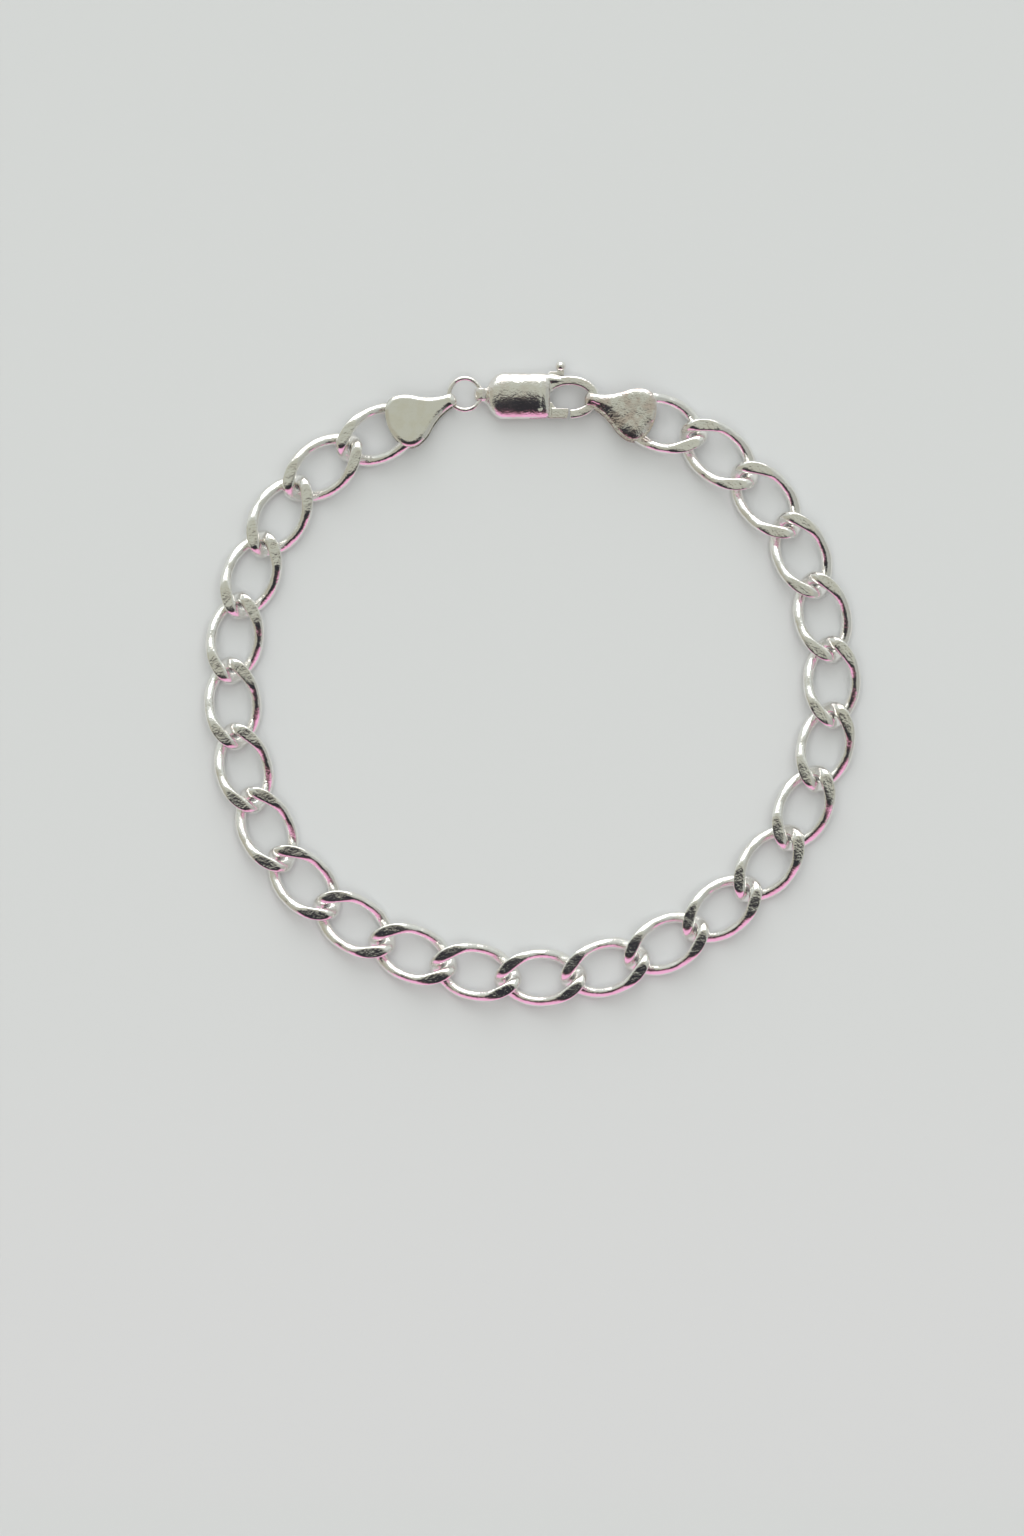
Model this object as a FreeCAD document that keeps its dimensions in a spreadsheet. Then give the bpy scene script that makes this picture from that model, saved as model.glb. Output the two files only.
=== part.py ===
import FreeCAD, Part
import math
import os
import Sketcher

# A curb link bracelet lying flat as a closed loop, +Z up, X to the right and Y away from the wearer.
# The folded end caps close it through a jump ring and a lobster clasp whose lever turns on a pin.

Vector = FreeCAD.Vector
Rotation = FreeCAD.Rotation
Placement = FreeCAD.Placement
UP = Vector(0, 0, 1)
doc = FreeCAD.newDocument("LinkBracelet")

# Driving dimensions in millimetres and degrees: name, value
SIZES = [
    ("linkPitch", 6.67),
    ("linkHalfLength", 4.09),
    ("linkHalfWidth", 2.40),
    ("linkTwist", 47.0),
    ("linkTwistPower", 1.4),
    ("wireWidth", 1.07),
    ("bowWidth", 1.36),
    ("wireHeight", 1.04),
    ("linkThickness", 2.05),
    ("sheet", 0.26),
    ("sheetGap", 0.04),
    ("capLength", 7.50),
    ("capBend", 0.80),
    ("capNoseHalf", 0.58),
    ("capNeckX", 1.00),
    ("capNeckHalf", 0.68),
    ("capFlareX", 3.80),
    ("capFlareHalf", 1.95),
    ("capShoulderX", 5.50),
    ("capShoulderHalf", 2.70),
    ("capCornerX", 7.05),
    ("capCornerHalf", 1.90),
    ("capNeckRadius", 6.00),
    ("capFlareRadius", 3.66),
    ("capCornerRadius", 1.47),
    ("capEndRadius", 4.00),
    ("capBevel", 0.20),
    ("capReachLeft", 8.66),
    ("capReachRight", 8.40),
    ("trimMargin", 1.00),
    ("ringRadius", 1.60),
    ("ringWireRadius", 0.25),
    ("ringRise", 1.25),
    ("claspHalfHeight", 1.20),
    ("claspHalfWidth", 2.36),
    ("claspTailX", -2.95),
    ("claspEndX", 2.95),
    ("claspTailRadius", 1.55),
    ("claspEndRadius", 6.20),
    ("claspEndHalf", 2.05),
    ("hookX", 4.93),
    ("hookY", -0.17),
    ("hookHalfLength", 2.55),
    ("hookHalfWidth", 1.70),
    ("hookWire", 0.95),
    ("hookHeight", 1.40),
    ("hookTipX", 4.95),
    ("hookRootAngle", 160.0),
    ("eyeX", -4.00),
    ("eyeY", 0.17),
    ("eyeRadius", 0.75),
    ("eyeHole", 0.50),
    ("eyeWidth", 1.20),
    ("neckHeight", 1.10),
    ("neckOverlap", 0.30),
    ("pillowMargin", 0.05),
    ("pivotX", 1.98),
    ("pivotY", -1.37),
    ("pinRadius", 0.25),
    ("pinFit", 0.03),
    ("pinLength", 1.80),
    ("leverSheet", 0.60),
    ("slotHeight", 0.70),
    ("slotStartX", 0.90),
    ("slotEndX", 3.16),
    ("hubRadius", 0.52),
    ("gateReach", 2.87),
    ("gateEndLowX", 4.69),
    ("gateEndTopX", 4.85),
    ("gateTopY", -1.28),
    ("gateBottomY", -2.31),
    ("gateStartX", 3.16),
    ("gateHeight", 1.10),
    ("gateRootX", 2.86),
    ("crookEndX", 3.75),
    ("crookEndY", -1.22),
    ("crookMiddleX", 3.29),
    ("crookMiddleY", -0.78),
    ("crookStartY", -0.66),
    ("crookEndRadius", 0.50),
    ("crookStartRadius", 0.30),
    ("armX", 2.99),
    ("armMiddleY", 0.40),
    ("armTopX", 3.04),
    ("armTopY", 1.55),
    ("footStartX", 3.25),
    ("footBottomY", 2.03),
    ("footTopY", 2.45),
    ("footEndX", 4.41),
    ("footBackX", 3.66),
    ("knobRootHalf", 0.30),
    ("knobRootY", 2.89),
    ("backTopX", 2.94),
    ("backTurnX", 2.63),
    ("backTurnY", 2.18),
    ("backMiddleX", 2.33),
    ("backMiddleY", 1.37),
    ("backLowX", 2.13),
    ("backLowY", 0.15),
    ("hubStartX", 1.53),
    ("hubStartY", -1.11),
    ("knobX", 4.06),
    ("knobY", 2.99),
    ("knobRadius", 0.54),
]

# Heading of each link from the left cap round to the right one, in degrees from +X.
HEADINGS = [
    205, 217, 239, 249, 262, 274, 285, 296, 314, 327, 339, 349, 361,
    376, 387, 397, 411, 425, 436, 452, 464, 474, 491, 501, 522,
]
CHAIN_START = Vector(-12.35, 26.74, 0)
RING_CENTRE = Vector(-6.70, 29.375, 0)
CLASP_CENTRE = Vector(-1.05, 29.20, 0)
LINK_SECTIONS = 20
WIRE_SIDES = 10
FINE_STEP = 0.001

sheet = doc.addObject("Spreadsheet::Sheet", "Sizes")
for row, (name, value) in enumerate(SIZES, start=1):
    sheet.set(f"A{row}", name)
    sheet.set(f"B{row}", str(value))
    sheet.setAlias(f"B{row}", name)
half_row = len(SIZES) + 1
sheet.set(f"A{half_row}", "capHalf")
sheet.set(f"B{half_row}", "=linkThickness / 2 + sheetGap + sheet")
sheet.setAlias(f"B{half_row}", "capHalf")
doc.recompute()
size = {name: float(getattr(sheet, name)) for name in [row[0] for row in SIZES] + ["capHalf"]}


def value_of(term):
    """Numeric value of a sum of signed sheet names and numbers, such as 'capLength - sheet'."""
    total = 0.0
    sign = 1
    for word in str(term).replace("-", " - ").split():
        if word == "-":
            sign = -sign
        elif word == "+":
            sign = 1
        else:
            total += sign * (size[word] if word in size else float(word))
            sign = 1
    return total


def bound(term):
    """The same sum written with the sheet's cells."""
    words = str(term).replace("-", " - ").split()
    return " ".join("Sizes." + word if word in size else word for word in words)


def bind(thing, **terms):
    for name, term in terms.items():
        thing.setExpression(name.replace("_", "."), bound(term))


def outline(sketch, corners):
    """Closed loop through corners (x, y, radius, side): an arc to the next corner, or a line for radius 0.

    side is +1 where the arc bulges to the right of the way round and -1 to the left.
    """
    points = [Vector(value_of(x), value_of(y), 0) for x, y, radius, side in corners]
    first = sketch.GeometryCount
    starts = []
    for index, (x, y, radius, side) in enumerate(corners):
        start = points[index]
        finish = points[(index + 1) % len(points)]
        if value_of(radius) == 0:
            sketch.addGeometry(Part.LineSegment(start, finish), False)
            starts.append(1)
            continue
        reach = value_of(radius)
        chord = finish - start
        middle = (start + finish) * 0.5
        normal = Vector(chord.y, -chord.x, 0).normalize() * side
        sagitta = reach - math.sqrt(reach**2 - (chord.Length / 2)**2)
        arc = Part.Arc(start, middle + normal * sagitta, finish)
        sketch.addGeometry(arc, False)
        starts.append(1 if side > 0 else 2)
    for index, (x, y, radius, side) in enumerate(corners):
        edge = first + index
        following = first + (index + 1) % len(corners)
        start = starts[index]
        finish = 3 - start
        sketch.addConstraint(Sketcher.Constraint(
            "Coincident", edge, finish, following, starts[(index + 1) % len(corners)]))
        for kind, term in (("DistanceX", x), ("DistanceY", y)):
            number = sketch.addConstraint(Sketcher.Constraint(kind, -1, 1, edge, start, value_of(term)))
            sketch.setExpression(f"Constraints[{number}]", bound(term))
        if value_of(radius) != 0:
            number = sketch.addConstraint(Sketcher.Constraint("Radius", edge, value_of(radius)))
            sketch.setExpression(f"Constraints[{number}]", bound(radius))


def origin_plane(body, role):
    return next(item for item in body.Origin.OriginFeatures if item.Role == role)


def body_sketch(body, name, role, corners):
    sketch = body.newObject("Sketcher::SketchObject", name)
    sketch.AttachmentSupport = (origin_plane(body, role), [""])
    sketch.MapMode = "FlatFace"
    outline(sketch, corners)
    return sketch


def free_sketch(name, corners):
    sketch = doc.addObject("Sketcher::SketchObject", name)
    outline(sketch, corners)
    return sketch


def plate(name, corners, height):
    """A plan outline drawn at mid height and thickened evenly both ways."""
    solid = doc.addObject("Part::Extrusion", name)
    solid.Base = free_sketch(name + "Outline", corners)
    solid.DirMode = "Normal"
    solid.Solid = True
    solid.Symmetric = True
    bind(solid, LengthFwd=height)
    return solid


def joined(name, solids):
    fuse = doc.addObject("Part::MultiFuse", name)
    fuse.Shapes = solids
    return fuse


def cut(name, base, tool):
    result = doc.addObject("Part::Cut", name)
    result.Base = base
    result.Tool = tool
    return result


def common(name, base, tool):
    result = doc.addObject("Part::Common", name)
    result.Base = base
    result.Tool = tool
    return result


# One curb link: an oval ring whose plane turns about the long axis from one end to the other,
# so that each end stands on its own slant, then cut flat top and bottom.
def ring_point(angle):
    along = math.cos(angle)
    turn = -math.radians(size["linkTwist"]) * math.copysign(abs(along)**size["linkTwistPower"], along)
    across = size["linkHalfWidth"] * math.sin(angle)
    return Vector(size["linkHalfLength"] * along, across * math.cos(turn), across * math.sin(turn)), turn


def wire_section(number):
    angle = math.pi / 2 + 2 * math.pi * number / LINK_SECTIONS
    centre, turn = ring_point(angle)
    travel = (ring_point(angle + FINE_STEP)[0] - ring_point(angle - FINE_STEP)[0]).normalize()
    across = travel.cross(Vector(0, -math.sin(turn), math.cos(turn))).normalize()
    height = across.cross(travel)
    width = size["wireWidth"] + (size["bowWidth"] - size["wireWidth"]) * abs(math.cos(angle))
    section = doc.addObject("Part::Polygon", f"WireSection{number + 1}")
    nodes = []
    for side in range(WIRE_SIDES):
        around = 2 * math.pi * (side + 0.5) / WIRE_SIDES
        nodes.append(centre + across * (width / 2 * math.cos(around))
                     + height * (size["wireHeight"] / 2 * math.sin(around)))
    section.Nodes = nodes
    section.Close = True
    return section


ring_loft = doc.addObject("Part::Loft", "TwistedRing")
ring_loft.Sections = [wire_section(number) for number in range(LINK_SECTIONS)]
ring_loft.Solid = True
ring_loft.Ruled = True
ring_loft.Closed = True
slab = doc.addObject("Part::Box", "FlatSlab")
bind(slab, Length="linkHalfLength + linkHalfLength + bowWidth",
     Width="linkHalfWidth + linkHalfWidth + bowWidth", Height="linkThickness")
slab.setExpression("Placement.Base.x", "-Length / 2")
slab.setExpression("Placement.Base.y", "-Width / 2")
slab.setExpression("Placement.Base.z", "-Height / 2")
link = common("CurbLink", ring_loft, slab)

# An end cap: a strip folded round a blunt nose at x = 0, fanning out to a rounded end.
cap = doc.addObject("PartDesign::Body", "cap_left")
strip = cap.newObject("PartDesign::Pad", "FoldedStrip")
strip.Profile = body_sketch(cap, "StripProfile", "XZ_Plane", [
    ("capLength + trimMargin", "capHalf", "0", 0),
    ("capBend", "capHalf", "capBend", 1),
    ("0", "capHalf - capBend", "0", 0),
    ("0", "- capHalf + capBend", "capBend", 1),
    ("capBend", "- capHalf", "0", 0),
    ("capLength + trimMargin", "- capHalf", "0", 0),
    ("capLength + trimMargin", "- capHalf + sheet", "0", 0),
    ("capBend", "- capHalf + sheet", "capBend - sheet", -1),
    ("sheet", "- capHalf + capBend", "0", 0),
    ("sheet", "capHalf - capBend", "capBend - sheet", -1),
    ("capBend", "capHalf - sheet", "0", 0),
    ("capLength + trimMargin", "capHalf - sheet", "0", 0),
])
strip.Midplane = True
bind(strip, Length="capShoulderHalf + capShoulderHalf + trimMargin")
trim = cap.newObject("PartDesign::Pocket", "FanOutline")
fan = body_sketch(cap, "FanSketch", "XY_Plane", [
    ("0", "- capNoseHalf", "0", 0),
    ("capNeckX", "- capNeckHalf", "capNeckRadius", -1),
    ("capFlareX", "- capFlareHalf", "capFlareRadius", 1),
    ("capShoulderX", "- capShoulderHalf", "capCornerRadius", 1),
    ("capCornerX", "- capCornerHalf", "capEndRadius", 1),
    ("capCornerX", "capCornerHalf", "capCornerRadius", 1),
    ("capShoulderX", "capShoulderHalf", "capFlareRadius", 1),
    ("capFlareX", "capFlareHalf", "capNeckRadius", -1),
    ("capNeckX", "capNeckHalf", "0", 0),
    ("0", "capNoseHalf", "0", 0),
])
outline(fan, [
    ("- trimMargin", "- capLength", "0", 0),
    ("capLength + trimMargin + trimMargin", "- capLength", "0", 0),
    ("capLength + trimMargin + trimMargin", "capLength", "0", 0),
    ("- trimMargin", "capLength", "0", 0),
])
trim.Profile = fan
trim.Type = "ThroughAll"
trim.Midplane = True
doc.recompute()
bevel = cap.newObject("PartDesign::Chamfer", "RimBevel")
rim = []
for number, edge in enumerate(trim.Shape.Edges, start=1):
    flat = all(abs(abs(vertex.Z) - size["capHalf"]) < FINE_STEP for vertex in edge.Vertexes)
    crease = all(abs(vertex.X - size["capBend"]) < FINE_STEP for vertex in edge.Vertexes)
    if flat and not crease:
        rim.append(f"Edge{number}")
bevel.Base = (trim, rim)
bind(bevel, Size="capBevel")

# The jump ring.
jump_ring = doc.addObject("Part::Torus", "jump_ring")
bind(jump_ring, Radius1="ringRadius", Radius2="ringWireRadius")

# The clasp: a pillow of oval section, a hook bent from it and an eye at its tail.
pillow_oval = doc.addObject("Part::Ellipse", "PillowOval")
bind(pillow_oval, MajorRadius="claspHalfWidth", MinorRadius="claspHalfHeight")
pillow_oval.Placement = Placement(
    Vector(size["claspTailX"] - size["trimMargin"], 0, 0), Rotation(Vector(1, 1, 1), 120))
pillow_bar = doc.addObject("Part::Extrusion", "PillowBar")
pillow_bar.Base = pillow_oval
pillow_bar.DirMode = "Custom"
pillow_bar.Dir = Vector(1, 0, 0)
pillow_bar.Solid = True
bind(pillow_bar, LengthFwd="claspEndX - claspTailX + trimMargin + trimMargin")
pillow_plan = plate("PillowPlan", [
    ("claspTailX + claspTailRadius", "- claspHalfWidth - pillowMargin", "0", 0),
    ("claspEndX", "- claspHalfWidth - pillowMargin", "0", 0),
    ("claspEndX", "- claspEndHalf", "claspEndRadius", -1),
    ("claspEndX", "claspEndHalf", "0", 0),
    ("claspEndX", "claspHalfWidth + pillowMargin", "0", 0),
    ("claspTailX + claspTailRadius", "claspHalfWidth + pillowMargin", "claspTailRadius", 1),
    ("claspTailX", "claspHalfWidth + pillowMargin - claspTailRadius", "0", 0),
    ("claspTailX", "claspTailRadius - claspHalfWidth - pillowMargin", "claspTailRadius", 1),
], "claspHalfHeight + claspHalfHeight + trimMargin")
pillow = common("Pillow", pillow_bar, pillow_plan)

tip_angle = math.degrees(math.acos((size["hookTipX"] - size["hookX"]) / size["hookHalfLength"]))
hook_path = doc.addObject("Part::Ellipse", "HookPath")
bind(hook_path, MajorRadius="hookHalfLength", MinorRadius="hookHalfWidth")
hook_path.Angle1 = 360 - tip_angle
hook_path.Angle2 = size["hookRootAngle"]
hook_path.Placement = Placement(Vector(size["hookX"], size["hookY"], 0), Rotation())
hook_section = doc.addObject("Part::Ellipse", "HookSection")
bind(hook_section, MajorRadius="hookHeight / 2", MinorRadius="hookWire / 2")
doc.recompute()
tip = hook_path.Shape.Edges[0].valueAt(hook_path.Shape.Edges[0].FirstParameter)
hook_section.Placement = Placement(tip, Rotation(Vector(0, 1, 0), 90))
hook = doc.addObject("Part::Sweep", "Hook")
hook.Sections = [hook_section]
hook.Spine = (hook_path, ["Edge1"])
hook.Solid = True

eye = doc.addObject("Part::Cylinder", "TailEye")
eye_hole = doc.addObject("Part::Cylinder", "TailEyeHole")
for round_part, radius in ((eye, "eyeRadius"), (eye_hole, "eyeHole")):
    bind(round_part, Radius=radius, Height="eyeWidth")
    round_part.Placement = Placement(Vector(0, 0, 0), Rotation(Vector(1, 0, 0), 90))
    bind(round_part, Placement_Base_x="eyeX", Placement_Base_y="eyeY + eyeWidth / 2")
neck = doc.addObject("Part::Box", "TailNeck")
bind(neck, Length="claspTailX - eyeX + neckOverlap", Width="eyeWidth", Height="neckHeight",
     Placement_Base_x="eyeX", Placement_Base_y="eyeY - eyeWidth / 2", Placement_Base_z="- neckHeight / 2")
lever_slot = doc.addObject("Part::Box", "LeverSlot")
bind(lever_slot, Length="slotEndX - slotStartX", Width="claspHalfWidth + claspHalfWidth + trimMargin",
     Height="slotHeight", Placement_Base_x="slotStartX", Placement_Base_y="- claspHalfWidth - trimMargin / 2",
     Placement_Base_z="- slotHeight / 2")


def upright_pin(name, radius, height):
    """A round bar along Z on the lever's pivot, centred on mid height."""
    bar = doc.addObject("Part::Cylinder", name)
    bind(bar, Radius=radius, Height=height, Placement_Base_x="pivotX", Placement_Base_y="pivotY")
    bar.setExpression("Placement.Base.z", "-Height / 2")
    return bar


body_hole = upright_pin("BodyPinHole", "pinRadius + pinFit / 2",
                        "claspHalfHeight + claspHalfHeight + trimMargin")
clasp_solid = joined("ClaspSolid", [pillow, hook, eye, neck])
clasp_holes = joined("ClaspHoles", [eye_hole, lever_slot, body_hole])
clasp_body = cut("clasp_body", clasp_solid, clasp_holes)
lever_pin = doc.addObject("Part::Cylinder", "lever_pin")
bind(lever_pin, Radius="pinRadius", Height="pinLength")

# The lever: a flat arm standing in the slot, its gate thickened to the hook's size, and a ball knob.
arm = plate("LeverArm", [
    ("pivotX", "pivotY - hubRadius", "0", 0),
    ("gateRootX", "gateBottomY", "0", 0),
    ("gateEndLowX", "gateBottomY", "gateReach", 1),
    ("gateEndTopX", "gateTopY", "0", 0),
    ("crookEndX", "crookEndY", "crookEndRadius", -1),
    ("crookMiddleX", "crookMiddleY", "crookStartRadius", 1),
    ("armX", "crookStartY", "0", 0),
    ("armX", "armMiddleY", "0", 0),
    ("armTopX", "armTopY", "0", 0),
    ("footStartX", "footBottomY", "0", 0),
    ("footEndX", "footBottomY", "0", 0),
    ("footEndX", "footTopY", "0", 0),
    ("knobX + knobRootHalf", "knobRootY", "0", 0),
    ("knobX - knobRootHalf", "knobRootY", "0", 0),
    ("footBackX", "footTopY", "0", 0),
    ("backTopX", "footTopY", "0", 0),
    ("backTurnX", "backTurnY", "0", 0),
    ("backMiddleX", "backMiddleY", "0", 0),
    ("backLowX", "backLowY", "0", 0),
    ("hubStartX", "hubStartY", "hubRadius", 1),
], "leverSheet")
gate = plate("LeverGate", [
    ("gateStartX", "gateBottomY", "0", 0),
    ("gateEndLowX", "gateBottomY", "gateReach", 1),
    ("gateEndTopX", "gateTopY", "0", 0),
    ("gateStartX", "gateTopY", "0", 0),
], "gateHeight")
knob = doc.addObject("Part::Sphere", "LeverKnob")
bind(knob, Radius="knobRadius", Placement_Base_x="knobX", Placement_Base_y="knobY")
lever_hole = upright_pin("LeverPinHole", "pinRadius + pinFit", "leverSheet + trimMargin")
clasp_lever = cut("clasp_lever", joined("LeverSolid", [arm, gate, knob]), lever_hole)

# The chain: each link starts where the one before ends. The two end links stand higher because
# the caps' lower leaves lie under them, so their neighbours slope, lifted to rest on one corner.
doc.recompute()
pieces = {"cap_left": cap, "jump_ring": jump_ring, "clasp_body": clasp_body, "clasp_lever": clasp_lever,
          "lever_pin": lever_pin}
low = size["linkThickness"] / 2
high = size["capHalf"]
heights = [high, high] + [low] * (len(HEADINGS) - 3) + [high, high]
joint = Vector(CHAIN_START.x, CHAIN_START.y, heights[0])
centres = []
for number, heading in enumerate(HEADINGS, start=1):
    flat = Rotation(UP, heading).multVec(Vector(size["linkPitch"], 0, 0))
    following = Vector(joint.x + flat.x, joint.y + flat.y, heights[number])
    slope = math.degrees(math.asin((following.z - joint.z) / size["linkPitch"]))
    instance = doc.addObject("App::Link", f"link_{number:02d}")
    instance.LinkedObject = link
    centres.append((joint + following) * 0.5)
    instance.Placement = Placement(centres[-1], Rotation(UP, heading) * Rotation(Vector(0, 1, 0), -slope))
    doc.recompute()
    dip = min(instance.Shape.optimalBoundingBox(False).ZMin, 0)
    instance.Placement = Placement(UP * -dip, Rotation()) * instance.Placement
    pieces[f"link_{number:02d}"] = instance
    joint = following

# The caps grip the end links, each nose pointing away from the chain.
left = Rotation(UP, HEADINGS[0])
right = Rotation(UP, HEADINGS[-1] + 180)
cap.Placement = Placement(centres[0] - left.multVec(Vector(size["capReachLeft"], 0, 0)), left)
cap_right = doc.addObject("App::Link", "cap_right")
cap_right.LinkedObject = cap
cap_right.Placement = Placement(centres[-1] - right.multVec(Vector(size["capReachRight"], 0, 0)), right)
pieces["cap_right"] = cap_right
jump_ring.Placement = Placement(RING_CENTRE + UP * size["ringRise"], Rotation())
doc.recompute()

# The clasp's pieces share one local frame, moved together to its place.
clasp_place = Placement(CLASP_CENTRE + UP * size["claspHalfHeight"], Rotation())
clasp_body.Placement = clasp_place
clasp_lever.Placement = clasp_place
lever_pin.Placement = clasp_place * Placement(
    Vector(size["pivotX"], size["pivotY"], -size["pinLength"] / 2), Rotation())
doc.recompute()

# The whole loop is centred on the origin in plan, and rests on z = 0.
extent = FreeCAD.BoundBox()
for piece in pieces.values():
    extent.add(piece.Shape.optimalBoundingBox(False))
shift = Vector(-extent.Center.x, -extent.Center.y, 0)
for piece in pieces.values():
    piece.Placement = Placement(shift, Rotation()) * piece.Placement
doc.recompute()

for item in doc.Objects:
    if "Invalid" in item.State or "Error" in item.State:
        raise RuntimeError(f"{item.Name} failed: {item.State}")
for name, piece in pieces.items():
    if piece.Shape.isNull() or not piece.Shape.isValid() or len(piece.Shape.Solids) != 1:
        raise RuntimeError(f"{name} is not one valid solid")
    piece.Label = name

os.makedirs("parts", exist_ok=True)
for name, piece in sorted(pieces.items()):
    piece.Shape.exportStep(f"parts/{name}.step")
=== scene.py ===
import math

import bmesh
import bpy
from mathutils import Matrix, Vector


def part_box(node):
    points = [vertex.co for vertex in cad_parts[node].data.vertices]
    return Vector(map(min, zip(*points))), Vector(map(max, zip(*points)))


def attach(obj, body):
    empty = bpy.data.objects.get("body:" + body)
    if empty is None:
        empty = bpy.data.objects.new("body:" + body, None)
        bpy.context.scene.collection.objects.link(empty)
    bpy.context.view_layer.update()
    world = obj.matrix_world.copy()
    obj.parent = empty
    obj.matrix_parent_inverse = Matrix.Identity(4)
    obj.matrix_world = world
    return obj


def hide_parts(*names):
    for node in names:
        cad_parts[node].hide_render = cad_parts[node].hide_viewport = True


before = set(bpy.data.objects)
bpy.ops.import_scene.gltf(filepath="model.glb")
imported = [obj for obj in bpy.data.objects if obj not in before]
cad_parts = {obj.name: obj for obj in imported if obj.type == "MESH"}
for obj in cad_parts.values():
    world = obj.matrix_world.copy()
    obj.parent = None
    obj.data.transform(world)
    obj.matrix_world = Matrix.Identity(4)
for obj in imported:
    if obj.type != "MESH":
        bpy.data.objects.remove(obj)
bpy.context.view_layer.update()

mm = 0.001
weld = 0.0001 * mm      # points closer than this are one point


def newMaterial(name):
    made = bpy.data.materials.new(name)
    made.use_nodes = True
    return made, made.node_tree, made.node_tree.nodes["Principled BSDF"]


def softStep(tree, source, limits):
    # 0 at the first limit and 1 at the second, with a soft rise between them
    made = tree.nodes.new("ShaderNodeMapRange")
    made.interpolation_type = "SMOOTHSTEP"
    tree.links.new(source, made.inputs["Value"])
    made.inputs["From Min"].default_value, made.inputs["From Max"].default_value = limits
    return made.outputs["Result"]


def mixTones(tree, share, first, second):
    made = tree.nodes.new("ShaderNodeMix")
    made.data_type = "RGBA"
    for label, value in (("Factor", share), ("A", first), ("B", second)):
        if isinstance(value, bpy.types.NodeSocket):
            tree.links.new(value, made.inputs[label])
        else:
            made.inputs[label].default_value = value
    return made.outputs["Result"]


silverFinish = {
    "dentSize": 1.1 * mm,       # soft unevenness left by rolling and polishing
    "pitSize": 0.22 * mm,       # small knocks that break up a reflection
    "scratchSize": 0.05 * mm,
    # each set of scratches: its turn in plan, how it is drawn out, and the noise values between which it shows
    "scratches": [(0.5, (1, 0.05, 1), (0.62, 0.80)), (-0.7, (0.06, 1, 1), (0.64, 0.82))],
    "wearSize": 4 * mm, "wearLimits": (0.35, 0.75),
    "filmSize": 1.3 * mm, "filmLimits": (0.38, 0.64),
    # each silver: clean tone, tone of the film on it, depths of dents, pits and scratches, roughness new and worn
    "linkSilver": {"tone": (0.93, 0.925, 0.90, 1), "film": (0.91, 0.89, 0.85, 1),
                   "dent": 0.050 * mm, "pit": 0.024 * mm, "scratch": 0.0012 * mm, "rough": (0.10, 0.18)},
    "capSilver": {"tone": (0.90, 0.89, 0.855, 1), "film": (0.88, 0.86, 0.80, 1),
                  "dent": 0.030 * mm, "pit": 0.010 * mm, "scratch": 0.0018 * mm, "rough": (0.08, 0.13)},
    # the right cap's silver: deeper dents, pits and scratches and a rougher finish for wear, and a darker, pinker
    # film that is painted reflection of the dark and pink sheets the cap mirrors
    "wornSilverWithPaintedReflection": {"tone": (0.90, 0.89, 0.855, 1), "film": (0.74, 0.65, 0.60, 1),
                   "dent": 0.070 * mm, "pit": 0.040 * mm, "scratch": 0.0030 * mm, "rough": (0.12, 0.20)},
    "claspSilver": {"tone": (0.92, 0.91, 0.88, 1), "film": (0.88, 0.84, 0.80, 1),
                    "dent": 0.045 * mm, "pit": 0.028 * mm, "scratch": 0.0014 * mm, "rough": (0.13, 0.20)},
}


def polishedSilver(name):
    finish = silverFinish[name]
    made, tree, skin = newMaterial(name)
    skin.inputs["Metallic"].default_value = 1.0
    place = tree.nodes.new("ShaderNodeTexCoord").outputs["Object"]

    def noise(size, detail, source=place):
        texture = tree.nodes.new("ShaderNodeTexNoise")
        texture.inputs["Scale"].default_value = 1 / size
        texture.inputs["Detail"].default_value = detail
        tree.links.new(source, texture.inputs["Vector"])
        return texture.outputs["Fac"]

    def scratches(turn, drawnOut, limits):
        mapping = tree.nodes.new("ShaderNodeMapping")
        mapping.inputs["Rotation"].default_value = (0, 0, turn)
        mapping.inputs["Scale"].default_value = drawnOut
        tree.links.new(place, mapping.inputs["Vector"])
        return softStep(tree, noise(silverFinish["scratchSize"], 2.0, mapping.outputs["Vector"]), limits)

    # the heights are real ones, in metres
    reliefs = [(noise(silverFinish["dentSize"], 1.0), finish["dent"], False),
               (noise(silverFinish["pitSize"], 2.0), finish["pit"], False)]
    reliefs += [(scratches(*values), finish["scratch"], True) for values in silverFinish["scratches"]]
    normal = None
    for source, height, sunk in reliefs:
        bump = tree.nodes.new("ShaderNodeBump")
        bump.inputs["Distance"].default_value = height
        bump.invert = sunk
        tree.links.new(source, bump.inputs["Height"])
        if normal:
            tree.links.new(normal, bump.inputs["Normal"])
        normal = bump.outputs["Normal"]
    tree.links.new(normal, skin.inputs["Normal"])

    fresh, worn = finish["rough"]
    rough = tree.nodes.new("ShaderNodeMath")
    rough.operation = "MULTIPLY_ADD"
    tree.links.new(softStep(tree, noise(silverFinish["wearSize"], 2.0), silverFinish["wearLimits"]), rough.inputs[0])
    rough.inputs[1].default_value = worn - fresh
    rough.inputs[2].default_value = fresh
    tree.links.new(rough.outputs["Value"], skin.inputs["Roughness"])

    filmed = softStep(tree, noise(silverFinish["filmSize"], 3.0), silverFinish["filmLimits"])
    tree.links.new(mixTones(tree, filmed, finish["tone"], finish["film"]), skin.inputs["Base Color"])
    return made


linkSilver = polishedSilver("linkSilver")
capSilver = polishedSilver("capSilver")
wornSilverWithPaintedReflection = polishedSilver("wornSilverWithPaintedReflection")
claspSilver = polishedSilver("claspSilver")
print("finishes made")


def pieceFrom(name, mesh, material, body, slotName, *standsFor):
    for polygon in mesh.polygons:
        polygon.use_smooth = True
    mesh.materials.clear()
    mesh.materials.append(material)
    made = bpy.data.objects.new(name, mesh)
    bpy.context.scene.collection.objects.link(made)
    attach(made, body)
    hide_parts(*standsFor)


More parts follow.
